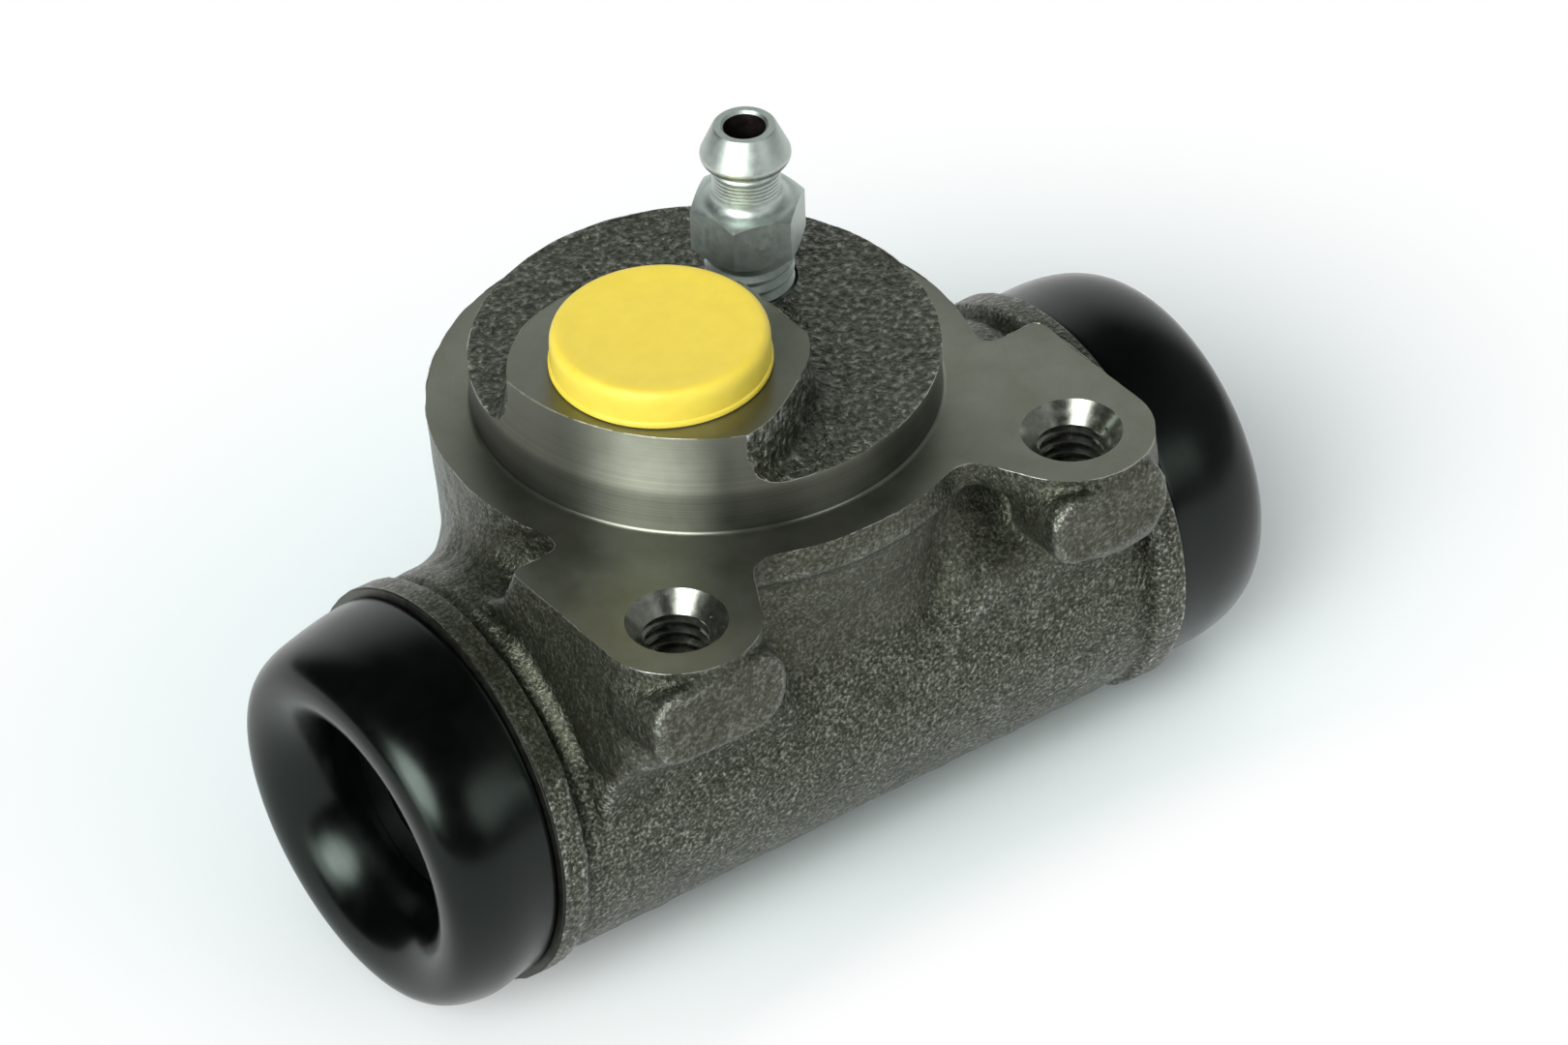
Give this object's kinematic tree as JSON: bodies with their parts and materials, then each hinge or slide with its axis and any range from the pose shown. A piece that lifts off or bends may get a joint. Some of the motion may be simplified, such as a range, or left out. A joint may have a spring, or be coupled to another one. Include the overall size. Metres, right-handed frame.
{
  "type": "wheel cylinder",
  "caption": "Cast iron drum brake wheel cylinder with opposed pistons, rubber dust boots, a spigot mounting with tapped ears, a bleed screw and a plugged pipe inlet.",
  "frame": {"origin": "axis of the locating spigot, on the machined mounting face", "axes": "+Z out of the mounting face along the spigot, +X along the barrel towards the right piston, the ears point to -Y"},
  "size_m": [0.0788, 0.0495, 0.055],
  "materials": {
    "cast_body": "as cast, with machined faces",
    "piston_alloy": "black anodised",
    "seal_rubber": "smooth black",
    "pressed_steel": "plain pressed",
    "spring_wire": "drawn wire",
    "boot_rubber": "glossy black",
    "zinc_plate": "bright zinc plated",
    "yellow_plastic": "moulded, satin"
  },
  "bodies": {
    "housing": {"cylinder_body": "cast_body", "dust_boot_left": "boot_rubber", "dust_boot_right": "boot_rubber", "return_spring": "spring_wire"},
    "piston_left": {"piston_left": "piston_alloy", "piston_cup_left": "seal_rubber", "cup_expander_left": "pressed_steel"},
    "piston_right": {"piston_right": "piston_alloy", "piston_cup_right": "seal_rubber", "cup_expander_right": "pressed_steel"},
    "bleed_screw": {"bleed_screw": "zinc_plate"},
    "inlet_plug": {"inlet_plug": "yellow_plastic"}
  },
  "joints": [
    {"name": "piston_left_slide", "type": "slide", "parent": "housing", "child": "piston_left", "axis": [-1, 0, 0], "range_m": [-0.0015, 0.006], "deforming": ["dust_boot_left", "return_spring"]},
    {"name": "piston_right_slide", "type": "slide", "parent": "housing", "child": "piston_right", "axis": [1, 0, 0], "range_m": [-0.0015, 0.006], "deforming": ["dust_boot_right", "return_spring"]},
    {"name": "bleed_screw_turn", "type": "hinge", "parent": "housing", "child": "bleed_screw", "pos_m": [0.00797, 0.00498, 0], "axis": [0, 0, 1], "range_deg": [0, 360]},
    {"name": "inlet_plug_pull", "type": "slide", "parent": "housing", "child": "inlet_plug", "axis": [0, 0, 1], "range_m": [0, 0.02]}
  ]
}
